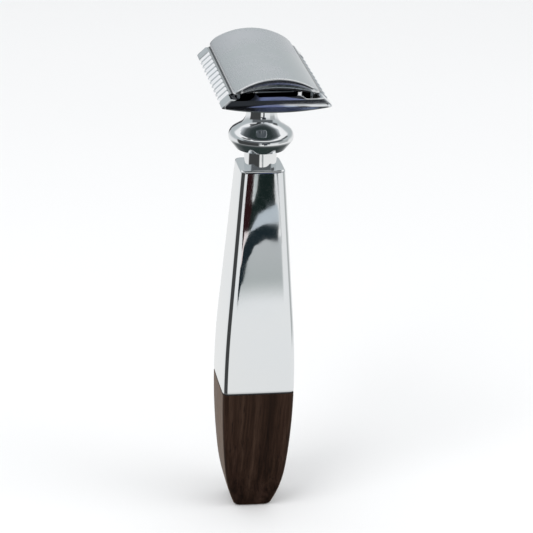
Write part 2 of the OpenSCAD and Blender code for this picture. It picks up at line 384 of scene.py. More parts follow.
def brass(name):
    m, N, p = material(name)
    g = N.noise(N.coords((400, 400, 7000)), 1.0, 4.0, 0.6, w=30.0)
    tarn = N.noise(N.coords(), 0.5, 4.0, 0.6, w=31.0)
    col = N.mix(N.mapr(tarn, 0.35, 0.75), (0.78, 0.60, 0.27), (0.52, 0.36, 0.14))
    N.put(p.inputs["Base Color"], col)
    p.inputs["Metallic"].default_value = 1.0
    N.put(p.inputs["Roughness"], N.mapr(g, 0.3, 0.7, 0.2, 0.36))
    N.put(p.inputs["Normal"], N.bump(g, 0.12, 0.00002))
    return m


def rubber(name):
    m, N, p = material(name)
    g = N.noise(N.coords(), 9.0, 4.0, 0.6, w=40.0)
    N.put(p.inputs["Base Color"], N.mix(N.mapr(g, 0.3, 0.7), (0.012, 0.012, 0.014), (0.035, 0.034, 0.036)))
    N.put(p.inputs["Roughness"], N.mapr(g, 0.3, 0.7, 0.5, 0.75))
    N.put(p.inputs["Normal"], N.bump(g, 0.3, 0.00003))
    return m


def wood(name):
    """Dark straight-grained wood look: long fibres, fine dark pores, slow bands of warmer and cooler brown, a satin lacquer."""
    m, N, p = material(name)
    c = N.coords()
    warp = N.noise(N.coords((1000, 1000, 1000)), 0.045, 2.0, 0.5, w=50.0)
    tc = N.add("ShaderNodeTexCoord")
    off = N.add("ShaderNodeCombineXYZ")
    w = N.math("MULTIPLY", N.math("SUBTRACT", warp, 0.5), 0.0030)
    N.put(off.inputs[0], w)
    N.put(off.inputs[1], N.math("MULTIPLY", w, -0.7))
    vadd = N.add("ShaderNodeVectorMath", operation="ADD")
    N.put(vadd.inputs[0], tc.outputs["Object"])
    N.put(vadd.inputs[1], off.outputs[0])

    def stretched(sx, sz, detail, rough, seed):
        mp = N.add("ShaderNodeMapping")
        mp.inputs["Scale"].default_value = (sx, sx, sz)
        N.put(mp.inputs["Vector"], vadd.outputs[0])
        return N.noise(mp.outputs[0], 1.0, detail, rough, 0.0, w=seed)

    bands = stretched(420, 9, 3.0, 0.5, 51.0)          # broad figure, about 2 mm apart
    fibre = stretched(1500, 26, 4.0, 0.62, 52.0)       # fibres, about half a millimetre
    fine = stretched(5200, 120, 3.0, 0.6, 53.0)        # hair-fine lines
    pores = stretched(3600, 190, 2.0, 0.5, 54.0)       # short dark pores
    v = N.math("ADD", N.math("MULTIPLY", bands, 0.42), N.math("ADD", N.math("MULTIPLY", fibre, 0.40), N.math("MULTIPLY", fine, 0.18)))
    col = N.ramp(v, [(0.33, (0.0040, 0.0022, 0.0018)), (0.43, (0.0105, 0.0052, 0.0036)), (0.50, (0.0200, 0.0098, 0.0064)),
                     (0.56, (0.0290, 0.0155, 0.0104)), (0.66, (0.0500, 0.0290, 0.0200))])
    cool = N.mapr(stretched(300, 14, 2.0, 0.5, 55.0), 0.45, 0.62)
    col = N.mix(N.math("MULTIPLY", cool, 0.35), col, N.mix(1.0, col, (0.92, 0.80, 0.95), "MULTIPLY"))
    pore = N.mapr(pores, 0.60, 0.70)
    col = N.mix(N.math("MULTIPLY", pore, 0.75), col, (0.005, 0.003, 0.003))
    col = N.mix(N.math("MULTIPLY", edge_mask(N, 0.51, 0.58), 0.25), col, (0.10, 0.062, 0.045))
    lw = N.add("ShaderNodeLayerWeight")
    lw.inputs[0].default_value = 0.5
    painted_sheen = N.math("MULTIPLY", N.mapr(lw.outputs["Facing"], 0.55, 0.85, 0, 1, True), N.mapr(v, 0.38, 0.60, 0.55, 1.0))
    col = N.mix(painted_sheen, col, (0.118, 0.060, 0.026))        # painted sheen: a warm brown is put into the colour where the face is seen edge-on, most on the lighter fibres
    N.put(p.inputs["Base Color"], col)
    r = N.math("ADD", N.mapr(fibre, 0.3, 0.7, 0.36, 0.50), N.math("MULTIPLY", pore, 0.15))
    N.put(p.inputs["Roughness"], r)
    p.inputs["IOR"].default_value = 1.42
    p.inputs["Specular IOR Level"].default_value = 0.18
    p.inputs["Specular Tint"].default_value = (0.90, 0.66, 0.52, 1)
    h = N.math("SUBTRACT", N.math("MULTIPLY", N.math("ADD", fibre, fine), 0.5), N.math("MULTIPLY", pore, 0.6))
    N.put(p.inputs["Normal"], N.bump(h, 0.35, 0.00006))
    return m


CHROME_SHAFT = chrome("chrome_shaft", seed=1.0)
CHROME_NECK = chrome("chrome_neck", seed=60.0, rough=(0.03, 0.06))
CHROME_PLATE = chrome("chrome_plate", base=(0.84, 0.86, 0.885), seed=80.0, rough=(0.05, 0.10))
SATIN_CAP = satin("satin_cap")
# painted shade: a darker chrome for the cap's end faces and underside; its lower roughness is a glossier finish
CHROME_CAP_SHADED_ENDS = chrome("chrome_cap_ends_painted_shade", base=(0.62, 0.64, 0.66), seed=100.0, rough=(0.10, 0.16))
# painted shade: the blade's flat faces get a near-black steel colour, so the strip showing beside the cap's edge reads
# as the shadow under it
BLADE_FLAT_PAINTED_DARK = steel("blade_steel", (0.10, 0.103, 0.11), 0.30, (300, 7000, 300), 20.0)
BLADE_EDGE = steel("blade_ground_edge", (0.66, 0.665, 0.675), 0.16, (7000, 500, 7000), 24.0)
STUD = steel("stud_steel", (0.70, 0.705, 0.715), 0.2, (900, 900, 5000), 26.0)
BRASS = brass("brass")
RUBBER = rubber("seal_rubber")
WOOD = wood("tail_wood")


# ---------------------------------------------------------------- the square handle
def circ3(a, b, c):
    (ax, ay), (bx, by), (cx, cy) = a, b, c
    d = 2 * (ax * (by - cy) + bx * (cy - ay) + cx * (ay - by))
    sa, sb, sc = ax * ax + ay * ay, bx * bx + by * by, cx * cx + cy * cy
    ux = (sa * (by - cy) + sb * (cy - ay) + sc * (ay - by)) / d
    uy = (sa * (cx - bx) + sb * (ax - cx) + sc * (bx - ax)) / d
    return ux, uy, math.hypot(ax - ux, ay - uy)


FOOT = 4.45
SH_TOP = 5.4


def half_raw(z):
    if z < 12:
        c = circ3((FOOT, 0), (FOOT + 1.6, 4.2), (GRIP - 1.15, 12))
    elif z < JOINT:
        c = circ3((GRIP - 1.15, 12), (GRIP - 0.33, JOINT - 11), (GRIP, JOINT))
    elif z < JOINT + 20:
        c = circ3((GRIP, JOINT), (GRIP - 0.19, JOINT + 10), (GRIP - 0.77, JOINT + 20))
    else:
        return GRIP - 0.77 + (SH_TOP - GRIP + 0.77) * (z - JOINT - 20) / (SHAFT_TOP - JOINT - 20)
    return c[0] + math.sqrt(max(c[2] ** 2 - (z - c[1]) ** 2, 0))


# the outline is eased a little where its arcs meet, so reflections run on without a kink
_zs = np.arange(-6, SHAFT_TOP + 6.01, 0.1)
_hs = np.array([half_raw(max(z, 0)) + (min(z, 0) * 0.42) for z in _zs])
_k = np.exp(-0.5 * (np.arange(-40, 41) / 14.0) ** 2)
_k /= _k.sum()
_sm = np.convolve(np.pad(_hs, 40, mode="edge"), _k, mode="valid")


def half(z):
    return float(np.interp(z, _zs, _sm))


def square_ring(h, R, z, per=9, side=10, bow=0.0):
    """A rounded square of half width h and corner radius R; bow lets each face swell outwards by that much at its middle."""
    pts = []
    for k in range(4):
        a0 = k * 90
        cx, cy = (h - R) * (1 if k in (0, 3) else -1), (h - R) * (1 if k in (0, 1) else -1)
        for t in np.linspace(0, 90, per):
            a = math.radians(a0 + t)
            pts.append((cx + R * math.cos(a), cy + R * math.sin(a)))
        nx = (cx + R * math.cos(math.radians(a0 + 90)), cy + R * math.sin(math.radians(a0 + 90)))
        k2 = (k + 1) % 4
        cx2, cy2 = (h - R) * (1 if k2 in (0, 3) else -1), (h - R) * (1 if k2 in (0, 1) else -1)
        ex = (cx2 + R * math.cos(math.radians(a0 + 90)), cy2 + R * math.sin(math.radians(a0 + 90)))
        nrm = (math.cos(math.radians(a0 + 90)), math.sin(math.radians(a0 + 90)))
        for s in np.linspace(0, 1, side + 2)[1:-1]:
            b = bow * (1 - (2 * s - 1) ** 2)
            pts.append((nx[0] + (ex[0] - nx[0]) * s + nrm[0] * b, nx[1] + (ex[1] - nx[1]) * s + nrm[1] * b))
    return np.array([(x, y, z) for x, y in pts])


def circle_ring(r, z, ref):
    """A circle with one point for each point of ref, at the same bearing."""
    a = np.arctan2(ref[:, 1], ref[:, 0])
    return np.c_[r * np.cos(a), r * np.sin(a), np.full(len(a), z)]


EDGE_R = 1.3


def handle_rings(z0, z1, step, r0, r1, bow=0.06):
    """Rings of the square body from z0 to z1, its end edges rounded by r0 and r1."""
    zs = list(np.arange(z0 + r0, z1 - r1, step)) + [z1 - r1]
    rings = []
    for t in np.linspace(0, 90, 7)[:-1]:
        z = z0 + r0 * (1 - math.sin(math.radians(t)))
        ins = r0 * (1 - math.cos(math.radians(t)))
        rings.insert(0, (z, ins))
    rings += [(z, 0.0) for z in zs]
    for t in np.linspace(0, 90, 7)[1:]:
        rings.append((z1 - r1 + r1 * math.sin(math.radians(t)), r1 * (1 - math.cos(math.radians(t)))))
    return [square_ring(half(z) - i, max(EDGE_R - i * 0.3, 0.3), z, bow=bow) for z, i in rings]


# shaft: outside, over the top, down the stepped bore, out across the joint face
outer = handle_rings(JOINT, SHAFT_TOP, 0.75, 0.12, 0.45)
ref = outer[0]
inner = [circle_ring(r, z, ref) for r, z in (
    (3.02, SHAFT_TOP), (3.02, SHAFT_TOP - 9.1), (2.1, SHAFT_TOP - 9.1), (2.1, JOINT + 38.3), (4.6, JOINT + 38.3),
    (4.6, JOINT + 6), (2.1, JOINT + 6), (2.1, JOINT - 5), (4.9, JOINT - 5), (5.2, JOINT - 4.7), (5.2, JOINT))]
shaft = loft("shaft_chrome", outer + inner, close_v=True, sharp=35)
place(shaft, "handle", "shaft", "bright_chrome", CHROME_SHAFT)

# tail block: foot, outside, top face, socket for the spigot, hole for the insert
outer = handle_rings(tail_lo[2], tail_hi[2], 0.6, 0.75, 0.12, bow=0.05)
inner = [circle_ring(r, z, outer[0]) for r, z in (
    (5.25, tail_hi[2]), (5.25, JOINT - 5.1), (3.52, JOINT - 5.1), (3.52, JOINT - 19.1))]
tail = loft("tail_block_wood", outer + inner, sharp=40)
place(tail, "handle", "tail_block", "tail_wood", WOOD)

# seal: a thin dark line, set back a little between metal and wood
zz = np.linspace(0, 1, 5)
outer = [square_ring(GRIP - 0.16 + 0.05 * math.sin(PI * t), EDGE_R, seal_lo[2] + 0.01 + (seal_hi[2] - seal_lo[2] - 0.01) * t, bow=0.03) for t in zz]
inner = [circle_ring(5.3, seal_hi[2], outer[0]), circle_ring(5.3, seal_lo[2] + 0.01, outer[0])]
seal = loft("joint_seal_ring", outer + inner, close_v=True, sharp=35)
place(seal, "handle", "joint_seal", "seal_rubber", RUBBER)


# ---------------------------------------------------------------- threaded and turned pieces
def threaded(name, z0, z1, r, pitch, spans, seg=72, chamfer=0.45, neck=None, sharp=50.0):
    """A rod with a right-hand thread of real geometry between the heights in spans."""
    depth = 0.6134 * pitch
    dz = pitch / 10.0
    zs = np.unique(np.r_[np.arange(z0, z1, dz), z1, z0])
    rings = []
    for z in zs:
        row = []
        for k in range(seg):
            a = 2 * PI * k / seg
            rr = r
            for s0, s1 in spans:
                if s0 <= z <= s1:
                    ph = ((z / pitch) - a / (2 * PI)) % 1.0
                    tri = 1 - abs(2 * ph - 1)                      # 1 on the crest
                    cut = depth * min(1.0, max(0.0, (0.86 - tri) / 0.74))
                    fade = min(1.0, (z - s0) / (0.6 * pitch), (s1 - z) / (0.6 * pitch))
                    rr = r - cut * max(0.0, fade)
            if neck and neck[0] <= z <= neck[1]:
                rr = min(rr, r - 0.35)
            rr = min(rr, r - chamfer + (z - z0), r - chamfer + (z1 - z))
            row.append((rr * math.cos(a), rr * math.sin(a), z))
        rings.append(row)
    return loft(name, rings, sharp=sharp)


shank = SEAT_TOP + 3.2
stud = threaded("cap_stud_threaded", stud_lo[2], stud_hi[2], STUD_R - 0.01, 0.8, [(stud_lo[2], stud_hi[2] - 2.6)], chamfer=0.5)
place(stud, "cap", "cap_stud", "stud_steel", STUD)

rod = threaded("tie_rod_threaded", rod_lo[2], rod_hi[2], rod_hi[0], 0.7,
               [(rod_lo[2], rod_lo[2] + 14), (rod_hi[2] - 11, rod_hi[2])], seg=56, chamfer=0.4)
place(rod, "handle", "tie_rod", "stud_steel", STUD)

# pins: turned, with a lead-in and a shoulder line
parts = []
for s in (-1, 1):
    prof = [(0, pins_lo[2]), (PIN_R - 0.45, pins_lo[2]), (PIN_R - 0.3, pins_lo[2] + 0.06), (PIN_R - 0.05, pins_lo[2] + 0.4), (PIN_R, pins_lo[2] + 0.55)]
    prof += [(PIN_R, z) for z in np.linspace(pins_lo[2] + 0.7, pins_hi[2] - 1.45, 6)]
    prof += [(PIN_R - 0.08, pins_hi[2] - 1.40), (PIN_R - 0.08, pins_hi[2] - 1.25), (PIN_R, pins_hi[2] - 1.2), (PIN_R, pins_hi[2]), (0, pins_hi[2])]
    parts.append(revolve("pin", prof, seg=64, centre=(0, s * PIN_Y)))
bm = bmesh.new()
for o in parts:
    bm.from_mesh(o.data)
me = bpy.data.meshes.new("locating_pins_turned")
bm.to_mesh(me)
bm.free()
for o in parts:
    bpy.data.objects.remove(o, do_unlink=True)
pins = bpy.data.objects.new("locating_pins_turned", me)
bpy.context.scene.collection.objects.link(pins)
shade(pins, 32)
place(pins, "cap", "locating_pins", "stud_steel", STUD)

# brass insert: crossed knurl between plain lands, with a blind tapped bore
seg, rows = 120, []
z0, z1, r = ins_lo[2], ins_hi[2], ins_hi[0]
for z in np.linspace(z0, z1, 110):
    row = []
    for k in range(seg):
        a = 2 * PI * k / seg
        t = (z - z0) / (z1 - z0)
        kn = 0.0
        if 0.08 < t < 0.44 or 0.56 < t < 0.94:
            kn = 0.22 * (0.5 + 0.5 * math.cos(24 * a + 7.5 * z)) * (0.5 + 0.5 * math.cos(24 * a - 7.5 * z))
        land = -0.30 if 0.45 < t < 0.55 else 0.0
        rr = min(r - 0.22 + kn + land, r - 0.5 + (z - z0) * 1.0 + 0.05, r - 0.45 + (z1 - z))
        row.append((rr * math.cos(a), rr * math.sin(a), z))
    rows.append(row)
ref = np.array(rows[0])
rows += [circle_ring(2.25, z1, ref), circle_ring(1.97, z1 - 0.3, ref), circle_ring(1.97, z0 + 0.4, ref)]
insert = loft("tail_insert_knurled", rows, sharp=40)
place(insert, "handle", "tail_insert", "brass", BRASS)

# neck: slim top, hollow, flaring bell, rounded rim, undercut, flat seat, waist, spigot
cz = neck_hi[2] - 11.9                                    # height of the collar's widest line
NR, FIL, LIP, FL = 3.7, 3.6, 1.93, math.radians(34)
rc = COLLAR_R - LIP
lx, lz = rc + LIP * math.sin(FL), cz + LIP * math.cos(FL)
tx = NR + FIL * (1 - math.sin(FL))
tz = lz + (lx - tx) * math.tan(FL)
fz = tz + FIL * math.cos(FL)
prof = [(0, SEAT_TOP - 8.6), (STUD_R + 0.06, SEAT_TOP - 8.6), (STUD_R + 0.06, SEAT_TOP - 0.3), (STUD_R + 0.3, SEAT_TOP - 0.02),
        (NR - 0.18, SEAT_TOP), (NR - 0.07, SEAT_TOP - 0.05), (NR, SEAT_TOP - 0.2)]
prof += [(NR, z) for z in np.linspace(SEAT_TOP - 0.6, fz, 8)]
for t in np.linspace(0, math.pi / 2 - FL, 18)[1:]:
    prof.append((NR + FIL - FIL * math.cos(t), fz - FIL * math.sin(t)))
for t in np.linspace(0, 1, 7)[1:-1]:
    prof.append((tx + (lx - tx) * t, tz + (lz - tz) * t))
for t in np.linspace(math.pi / 2 - FL, -math.radians(38), 26):
    prof.append((rc + LIP * math.cos(t), cz + LIP * math.sin(t)))
body = rounded([prof[-1], (COLLAR_R - 1.7, cz - 2.9, 0.2), (3.9, cz - 2.9, 0.25), (3.9, SHAFT_TOP)], seg=7)
prof += [tuple(p) for p in body[1:]]
prof += [(3.9, SHAFT_TOP + 0.0), (3.0, SHAFT_TOP), (3.0, SHAFT_TOP - 8.8), (2.8, SHAFT_TOP - 9), (1.97, SHAFT_TOP - 9), (1.97, SHAFT_TOP + 1.4), (0, SHAFT_TOP + 1.4)]
prof = [(min(r, COLLAR_R), z) for r, z in prof]
neck = revolve("neck_collar_turned", prof, seg=192, sharp=30)
place(neck, "handle", "neck_collar", "bright_chrome", CHROME_NECK)


# ---------------------------------------------------------------- cap
def arch(halfspan, rise):
    return (halfspan ** 2 + rise ** 2) / (2 * rise)


RIM = 0.45
CAP_EDGE = cap_lo[2]
crown_R = arch(CAP_W, CAP_TOP - CAP_EDGE - RIM)
under_R = arch(CAP_W, 1.6)
UNDER_C = CAP_EDGE + 1.6
under_cz = UNDER_C - under_R


def crown(x):
    return CAP_TOP - crown_R + np.sqrt(crown_R ** 2 - np.minimum(np.abs(x), CAP_W) ** 2)


def under(x):
    return under_cz + np.sqrt(under_R ** 2 - np.minimum(np.abs(x), CAP_W) ** 2)


def plan_ring(d, R=2.0, corner=10, longs=34, shorts=40):
    """Points of the cap's plan outline moved inwards by d: the same count for every d, so rings join."""
    a, b, r = CAP_W - d, HALF_L - d, max(R - d, 1e-4)
    a = max(a, r)
    pts = []
    for k, (sx, sy) in enumerate([(1, 1), (-1, 1), (-1, -1), (1, -1)]):
        cx, cy = sx * (a - r), sy * (b - r)
        for t in np.linspace(0, 90, corner):
            an = math.radians(90 * k + t)
            pts.append((cx + r * math.cos(an), cy + r * math.sin(an)))
        n = shorts if k in (0, 2) else longs
        an = math.radians(90 * k + 90)
        s = (cx + r * math.cos(an), cy + r * math.sin(an))
        sx2, sy2 = [(1, 1), (-1, 1), (-1, -1), (1, -1)][(k + 1) % 4]
        e = (sx2 * (a - r) + r * math.cos(an), sy2 * (b - r) + r * math.sin(an))
        for q in np.linspace(0, 1, n + 2)[1:-1]:
            pts.append((s[0] + (e[0] - s[0]) * q, s[1] + (e[1] - s[1]) * q))
    return np.array(pts)


rf = 0.34
rings = []
for s in np.linspace(1, 0, 16)[:-1]:                      # underside, from the middle line outwards
    p = plan_ring(0.14 + (CAP_W - 0.14) * s)
    rings.append(np.c_[p, under(p[:, 0])])
for t in np.linspace(90, 0, 5):                           # lower edge, rounded a little
    d = 0.14 * (1 - math.cos(math.radians(t)))
    p = plan_ring(d)
    rings.append(np.c_[p, under(p[:, 0]) + 0.14 * (1 - math.sin(math.radians(t)))])
for t in np.linspace(0, 90, 9):                           # upper rim
    d = rf * (1 - math.cos(math.radians(t)))
    p = plan_ring(d)
    zt = crown(p[:, 0]) - rf * (1 - math.sin(math.radians(t)))
    rings.append(np.c_[p, np.maximum(zt, under(p[:, 0]) + 0.16)])
for s in np.linspace(0, 1, 26)[1:]:                       # crown, to the middle line
    p = plan_ring(rf + (CAP_W - rf) * s)
    rings.append(np.c_[p, crown(p[:, 0])])
cap = loft("top_cap_arched", rings, caps=(False, False), sharp=50)
place(cap, "cap", "top_cap", "satin_chrome", SATIN_CAP, CHROME_CAP_SHADED_ENDS)
# painted shade: faces pointing along the length or downwards get the darker chrome
cap.data.polygons.foreach_set("material_index", [1 if abs(q.normal.y) > 0.9 or q.normal.z < -0.5 else 0 for q in cap.data.polygons])
cap.data.update()


# ---------------------------------------------------------------- base plate with its scalloped guards
belly_R = arch(HALF_W, 1.2)
belly_cz = GZ - 0.25 + belly_R - 1.2
CREST_X, SHELF, LAND = HALF_W - 2.05, GZ + 1.9, GZ + 2.7
RIB_TOP = under_cz + math.sqrt((under_R - 0.14) ** 2 - 8.8 ** 2)
slope_k = 1.9 / 2.05
alpha = math.atan(slope_k)
PITCH, SC_R, SC_D, COUNT = 3.13, 1.75, 0.55, 11
BED = LAND + 0.9
CHEEK = under_cz + math.sqrt((under_R - 0.14) ** 2 - 5.6 ** 2)


def belly(x):
    return belly_cz - math.sqrt(belly_R ** 2 - x * x)


def scallop_depth(y):
    best = -9.0
    a = math.sqrt(SC_R ** 2 - (SC_R - SC_D) ** 2)
    for i in range(COUNT):
        dy = abs(y - (i - (COUNT - 1) / 2) * PITCH)
        g = math.sqrt(SC_R ** 2 - dy * dy) - (SC_R - SC_D) if dy < a else -(dy - a) * a / (SC_R - SC_D)
        best = max(best, g)
    return 0.5 * (best + math.sqrt(best * best + 0.22 ** 2)) if abs(y) < 15.65 + 1.4 else 0.5 * (best + math.sqrt(best * best + 0.03 ** 2))


def plate_loop(y, inset=0.0):
    """The plate's cross section at y as a closed loop with a fixed number of points."""
    ay = abs(y)
    d = scallop_depth(y)
    lim = HALF_W if ay < HALF_L - 0.7 else HALF_W - 0.7 + math.sqrt(max(0.49 - (ay - HALF_L + 0.7) ** 2, 0.0))
    drop = d / math.cos(alpha)
    line = lambda x: GZ + (HALF_W - x) * slope_k - drop
    if drop < 0.25:
        t2 = (HALF_W, GZ - drop)
        t1 = (HALF_W, belly(HALF_W))
    else:
        x = HALF_W
        for _ in range(30):
            x = HALF_W - (belly(x) - GZ + drop) / slope_k if False else HALF_W - (drop + (belly(x) - GZ)) / slope_k
        t1 = t2 = (x, belly(x))
    chan, rib = ay < 17.6, ay < 18.0
    xc = HALF_W - (SHELF - GZ + drop) / slope_k
    if xc < 10.17:
        xc, zc = 10.17, min(SHELF, line(10.17))
    else:
        zc = SHELF
    zch = SHELF - 0.9 if chan else zc - 0.0
    zrib = RIB_TOP if rib else SHELF
    if not chan:
        zch = min(zc, SHELF)
    sc = lambda t: 3 * t * t - 2 * t ** 3
    pts = [(0.0, belly(0))] + [(t1[0] * q, belly(t1[0] * q)) for q in np.linspace(0, 1, 22)[1:-1]]
    pts += [(*t1, 0.09), (*t2, 0.12)]
    pts += [(t2[0] + (xc - t2[0]) * q, t2[1] + (zc - t2[1]) * q) for q in (0.2, 0.4, 0.6, 0.8)]
    pts += [(xc, zc, 0.14), (10.17, zc, 0.10), (10.17, zch, 0.18), (9.07, zch, 0.18), (9.07, SHELF, 0.06),
            (8.8, SHELF, 0.06), (8.8, zrib, 0.10), (8.2, zrib, 0.10), (8.2, SHELF, 0.10)]
    pts += [(7.6, SHELF), (7.05, SHELF)]
    pts += [(6.85 - 1.2 * q, SHELF + (LAND - 0.05 - SHELF) * sc(q)) for q in np.linspace(0.02, 1, 9)]
    inner = BED if ay < 18.2 else LAND
    if ay > 17.95:                                        # a cheek closes the side of the end slot
        pts += [(5.6, LAND - 0.05, 0.08), (5.6, CHEEK, 0.14), (4.4, CHEEK, 0.14), (4.4, inner, 0.35 if inner == LAND else 0.05)]
    else:
        pts += [(5.6, LAND - 0.05, 0.08), (5.3, LAND, 0.15), (4.6, LAND, 0.08), (4.6, BED, 0.12)]
    pts += [(x, inner) for x in (3.6, 2.8, 1.8, 0.9, 0.0)]
    P = rounded(pts, seg=3)
    P[:, 0] = np.minimum(P[:, 0], lim)
    left = P[1:-1][::-1].copy()
    left[:, 0] *= -1
    L = np.vstack([P, left])
    if inset > 0:
        nxt, prv = np.roll(L, -1, 0), np.roll(L, 1, 0)
        t = nxt - prv
        ln = np.linalg.norm(t, axis=1, keepdims=True)
        ln[ln < 1e-9] = 1
        nrm = np.c_[-t[:, 1], t[:, 0]] / ln          # loop runs bottom -> +X -> top, so this points inwards
        L = L + nrm * inset
    return L


eb = 0.30
ys, ins_ = [], []
for t in np.linspace(90, 0, 6):
    ys.append(-HALF_L + eb * (1 - math.sin(math.radians(90 - t)) if False else (1 - math.cos(math.radians(90 - t)))))
    ins_.append(eb * (1 - math.sin(math.radians(90 - t))))
mid = list(np.arange(-HALF_L + eb + 0.08, HALF_L - eb - 0.04, 0.085))
extra = [s * e for s in (-1, 1) for e in (17.5995, 17.6005, 17.9495, 17.9505, 17.9995, 18.0005, 18.1995, 18.2005)]
mid = sorted([m for m in mid if all(abs(m - e) > 0.02 for e in extra)] + extra)
loops = [(y, i) for y, i in zip(ys, ins_)] + [(y, 0.0) for y in mid] + [(-y, i) for y, i in list(zip(ys, ins_))[::-1]]
rings = []
for y, i in loops:
    L = plate_loop(max(-HALF_L + 0.001, min(HALF_L - 0.001, y)), i)
    rings.append(np.c_[L[:, 0], np.full(len(L), y), L[:, 1]])
plate = loft("base_plate_guard", rings, sharp=28)


def cylinder(r, z0, z1, x=0.0, y=0.0, seg=96, cone=None):
    r1 = r if cone is None else cone
    ring = lambda rr, z: [(x + rr * math.cos(2 * PI * k / seg), y + rr * math.sin(2 * PI * k / seg), z) for k in range(seg)]
    return loft("tool", [ring(r, z0), ring(r1, z1)], sharp=60)


boolean(plate, cylinder(4.6, SEAT_TOP + 0.02, GZ + 0.4), "UNION")
boolean(plate, cylinder(STUD_R + 0.2, GZ - 4, GZ + 6), "DIFFERENCE")
boolean(plate, cylinder(STUD_R - 0.01, BED - 0.55, BED + 0.05, cone=STUD_R + 0.62), "DIFFERENCE")
for s in (-1, 1):
    boolean(plate, cylinder(PIN_R + 0.06, GZ - 4, GZ + 6, y=s * PIN_Y, seg=72), "DIFFERENCE")
    boolean(plate, cylinder(PIN_R - 0.147, BED - 0.45, BED + 0.05, y=s * PIN_Y, seg=72, cone=PIN_R + 0.37), "DIFFERENCE")
shade(plate, 28)
place(plate, "plate", "base_plate", "bright_chrome", CHROME_PLATE)


# ---------------------------------------------------------------- blade
BT = 0.1
bR = under_R - 0.02                                       # outer face of the bend
us = np.r_[np.linspace(-11, -10.55, 5), np.linspace(-10.4, 10.4, 60), np.linspace(10.55, 11, 5)]
yv = np.linspace(-BLADE_L, BLADE_L, 60)


def blade_pt(u, y, depth):
    a = u / bR
    r = bR - depth
    return (r * math.sin(a), y, under_cz + r * math.cos(a))


def grind(u):
    """How far each face is ground back near a cutting edge."""
    e = max(0.0, abs(u) - 10.6) / 0.4
    return 0.046 * e


rings = []
for y in yv:
    top = [blade_pt(u, y, grind(u)) for u in us]
    bot = [blade_pt(u, y, BT - grind(u)) for u in us[::-1]]
    rings.append(top + bot)
blade = loft("blade_double_edge", rings, sharp=20)


def prism(outline, z0, z1):
    n = len(outline)
    return loft("tool", [[(x, y, z0) for x, y in outline], [(x, y, z1) for x, y in outline]], sharp=60)


def window_outline():
    """Half slot, lobes and centre hole as one closed outline, then mirrored."""
    q = []                                               # quarter, from the +X axis round to the +Y axis
    def arc(cx, cy, r, a0, a1, n=14):
        return [(cx + r * math.cos(math.radians(a)), cy + r * math.sin(math.radians(a))) for a in np.linspace(a0, a1, n)]
    c = 1.3
    a_mid = math.degrees(math.asin(c / 3.1))
    q += arc(0, 0, 3.1, 0, 90 - a_mid)
    q += [(c, 6.5), (2.1, 6.7), (2.1, 8.5), (c, 8.7)]
    rl = PIN_R + 0.3
    a2 = math.degrees(math.asin(c / rl))
    q += arc(0, PIN_Y, rl, -90 + a2, 90 - a2)
    q += arc(0, 18.2, 1.3, 0, 90)[0:]
    left = [(-x, y) for x, y in q[::-1]][1:]
    top = q + left
    bot = [(x, -y) for x, y in top[::-1]][1:-1]
    return top + bot


boolean(blade, prism(window_outline(), GZ, GZ + 8), "DIFFERENCE")
for sx in (-1, 1):
    for sy in (-1, 1):
        pts = rounded([(sx * 30, sy * 18.7), (sx * 9.2, sy * 18.7, 0.3), (sx * 7.4, sy * 19.5, 0.6), (sx * 6.7, sy * 30, 0.1), (sx * 30, sy * 30)], seg=6)
        boolean(blade, prism([tuple(p) for p in pts], GZ, GZ + 8), "DIFFERENCE")
shade(blade, 20)
blade.data.materials.clear()
place(blade, "blade", "blade", "blade_steel", BLADE_FLAT_PAINTED_DARK, BLADE_EDGE)
xs = np.array([abs(p.center.x) for p in blade.data.polygons])
blade.data.polygons.foreach_set("material_index", (xs > (bR * math.sin(10.6 / bR)) * MM).astype(np.int32))
blade.data.update()
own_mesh(blade)    # the blade is built in the bend the cap gives it; here it only gets a mesh of its own


# ---------------------------------------------------------------- floor, light, reflections
def plane(name, pts, mat, glossy_only=False):
    me = bpy.data.meshes.new(name)
    me.from_pydata([tuple(np.array(p) * MM) for p in pts], [], [tuple(range(len(pts)))])
    ob = bpy.data.objects.new(name, me)
    me.materials.append(mat)
    bpy.context.scene.collection.objects.link(ob)
    if glossy_only:
        ob.visible_camera = False
        ob.visible_diffuse = False
        ob.visible_shadow = False
        ob.visible_transmission = False
        ob.visible_volume_scatter = False
    return ob


def emit(name, color, strength=1.0):
    m = bpy.data.materials.new(name)
    m.use_nodes = True
    N = Nodes(m.node_tree)
    out = N.add("ShaderNodeOutputMaterial")
    e = N.add("ShaderNodeEmission")
    e.inputs[0].default_value = (*color, 1)
    e.inputs[1].default_value = strength
    m.node_tree.links.new(e.outputs[0], out.inputs[0])
    return m


fm, N, p = material("floor_pale")
fn = N.noise(N.coords(), 0.004, 2.0, 0.5, w=90.0)
N.put(p.inputs["Base Color"], N.mix(N.mapr(fn, 0.3, 0.7), (0.90, 0.90, 0.90), (0.915, 0.915, 0.915)))
p.inputs["Roughness"].default_value = 0.7
p.inputs["Specular IOR Level"].default_value = 0.1
back = N.add("ShaderNodeMixShader")                        # seen from below the floor is clear, so the underside can be looked at
N.put(back.inputs[0], N.add("ShaderNodeNewGeometry").outputs["Backfacing"])
fm.node_tree.links.new(p.outputs[0], back.inputs[1])
fm.node_tree.links.new(N.add("ShaderNodeBsdfTransparent").outputs[0], back.inputs[2])
fm.node_tree.links.new(back.outputs[0], next(n for n in fm.node_tree.nodes if n.type == "OUTPUT_MATERIAL").inputs[0])
floor = plane("floor", [(-6000, -6000, 0), (6000, -6000, 0), (6000, 6000, 0), (-6000, 6000, 0)], fm)
floor.visible_glossy = False

